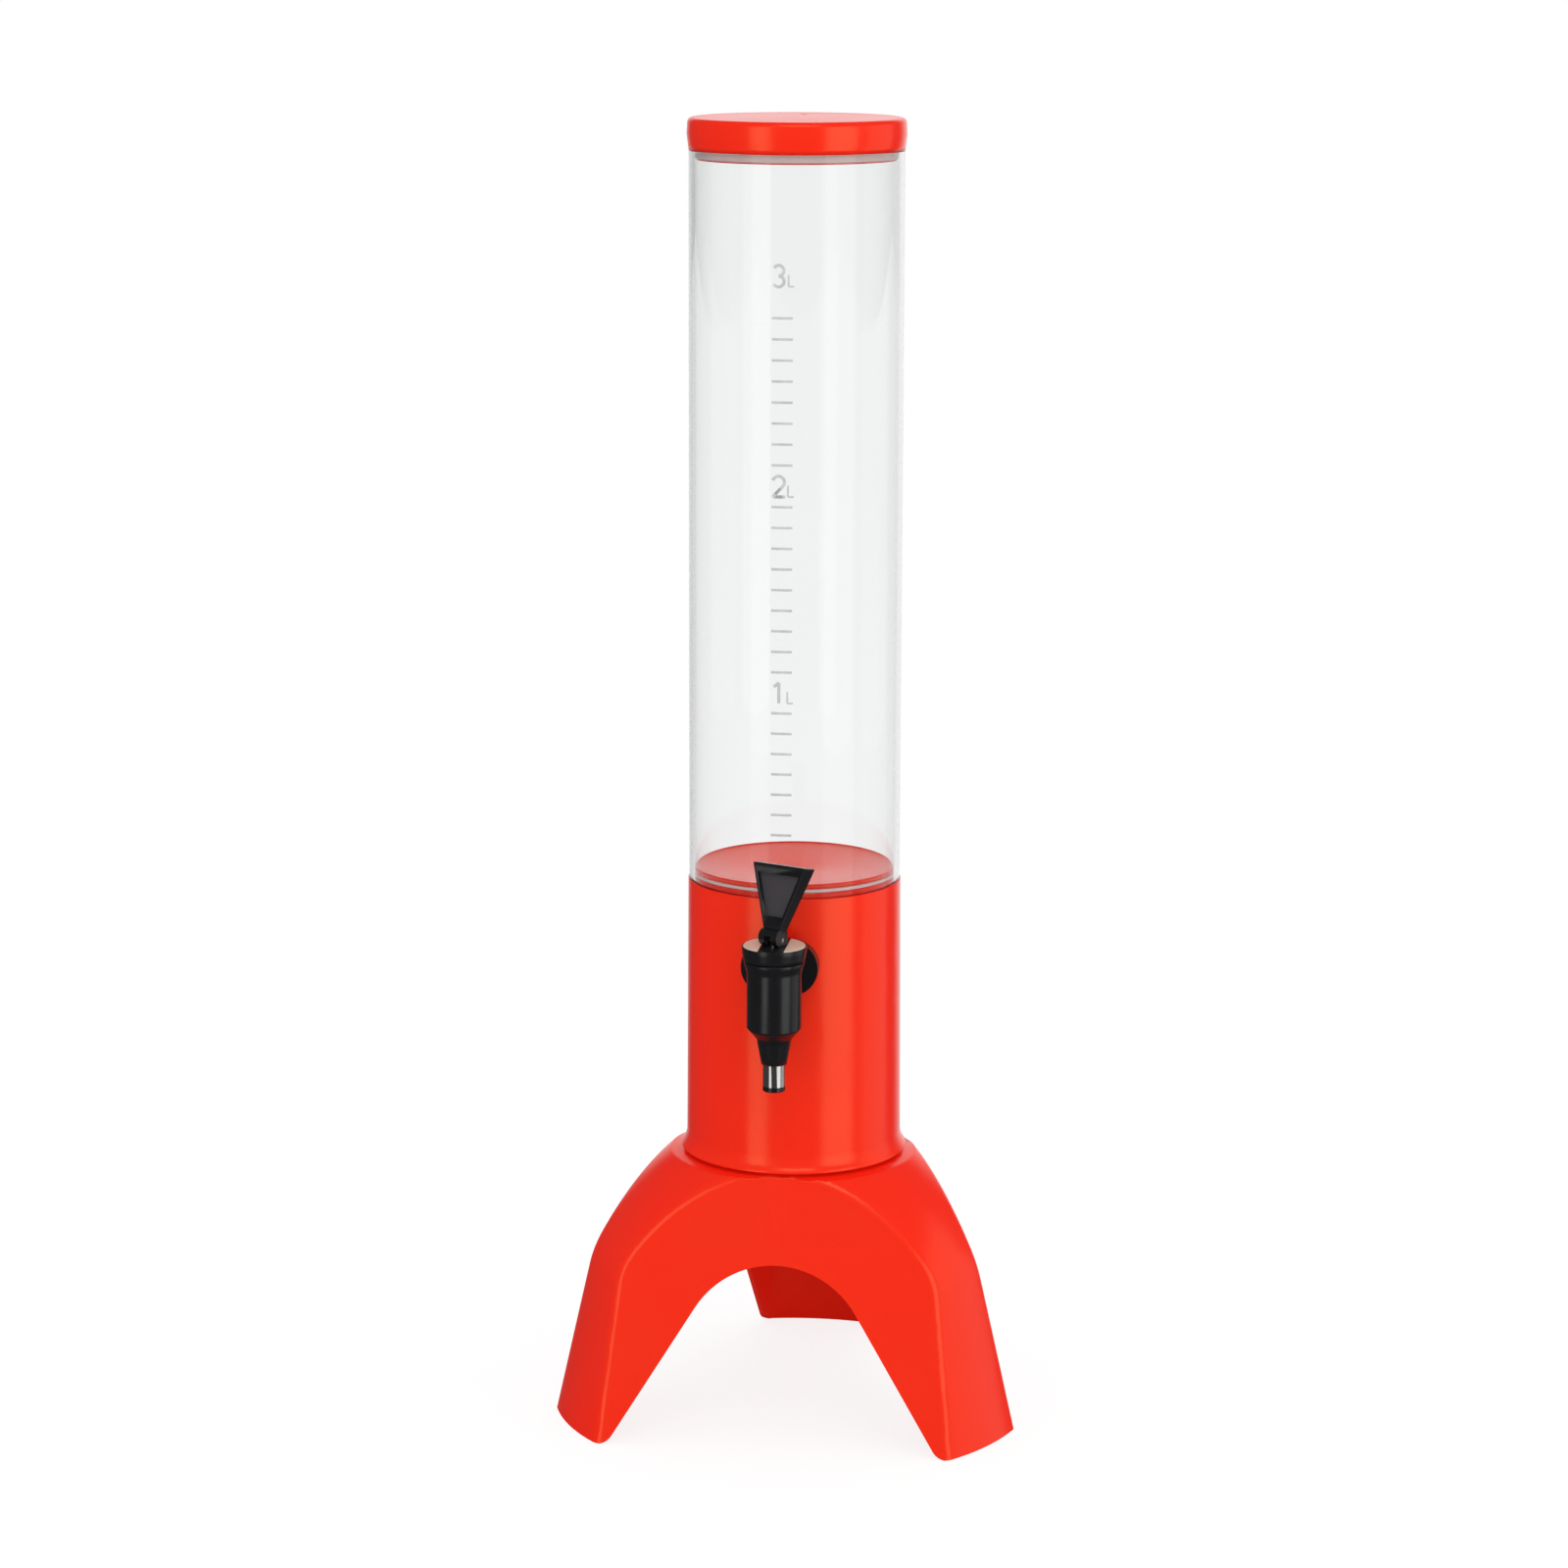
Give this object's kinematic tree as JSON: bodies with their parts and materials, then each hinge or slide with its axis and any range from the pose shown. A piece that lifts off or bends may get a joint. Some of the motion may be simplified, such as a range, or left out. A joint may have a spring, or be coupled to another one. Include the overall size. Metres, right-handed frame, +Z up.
{
  "type": "beer tower dispenser",
  "caption": "Tabletop drink tower: clear tube with a litre scale on a red column, lever tap in front, lift-off lid, arched tripod base.",
  "frame": {"origin": "on the floor plane, on the axis of the column and the tube", "axes": "+Z up along the tube, the tap faces -Y, one leg points to +Y"},
  "size_m": [0.2518, 0.2309, 0.7032],
  "materials": {
    "red_moulding": "glossy injection-moulded ABS",
    "clear_acrylic": "clear extruded acrylic",
    "black_moulding": "glossy black ABS",
    "charcoal_panel": "satin charcoal",
    "pale_plate": "pale acetal wear plate",
    "stainless": "stainless steel",
    "polished_steel": "polished stainless steel",
    "clear_silicone": "translucent silicone",
    "black_rubber": "black nitrile rubber",
    "zinc_plated": "bright zinc plate"
  },
  "bodies": {
    "tower": {"tripod_base": "red_moulding", "base_screws": "zinc_plated", "column": "red_moulding", "clear_tube": "clear_acrylic", "tube_seal": "clear_silicone", "hose": "clear_silicone", "hose_clamps": "stainless", "tap_body": "black_moulding", "tap_saddle": "black_moulding", "inner_saddle": "black_moulding", "shank_nut": "black_moulding", "bonnet": "black_moulding", "bonnet_seal": "black_rubber", "stem_seal": "black_rubber", "cam_plate": "pale_plate", "valve_spring": "stainless", "nozzle_sleeve": "polished_steel", "spout_tip": "black_moulding"},
    "cover": {"lid": "red_moulding", "lid_seal": "clear_silicone"},
    "valve_seat": {"valve_plug": "clear_silicone", "spring_collar": "stainless"},
    "stem": {"valve_stem": "stainless"},
    "handle": {"tap_handle": "black_moulding", "handle_inlay": "charcoal_panel", "handle_pin": "stainless"}
  },
  "joints": [
    {"name": "lid_lift", "type": "slide", "parent": "tower", "child": "cover", "axis": [0, 0, 1], "range_m": [0, 0.08]},
    {"name": "stem_lift", "type": "slide", "parent": "tower", "child": "valve_seat", "axis": [0, 0, 1], "range_m": [0, 0.003], "stiffness_N_per_m": 1200, "springref_m": -0.004, "deforming": ["valve_spring"]},
    {"name": "handle_swivel", "type": "hinge", "parent": "valve_seat", "child": "stem", "pos_m": [0, -0.082, 0.2801], "axis": [0, 0, 1], "range_deg": [-35, 85]},
    {"name": "handle_tilt", "type": "hinge", "parent": "stem", "child": "handle", "pos_m": [0, -0.082, 0.2801], "axis": [0.9063, -0.4226, 0], "range_deg": [0, 60.02]}
  ],
  "couplings": [
    {"joint": "handle_tilt", "follows": "stem_lift", "rad_per_m": 349.07}
  ]
}
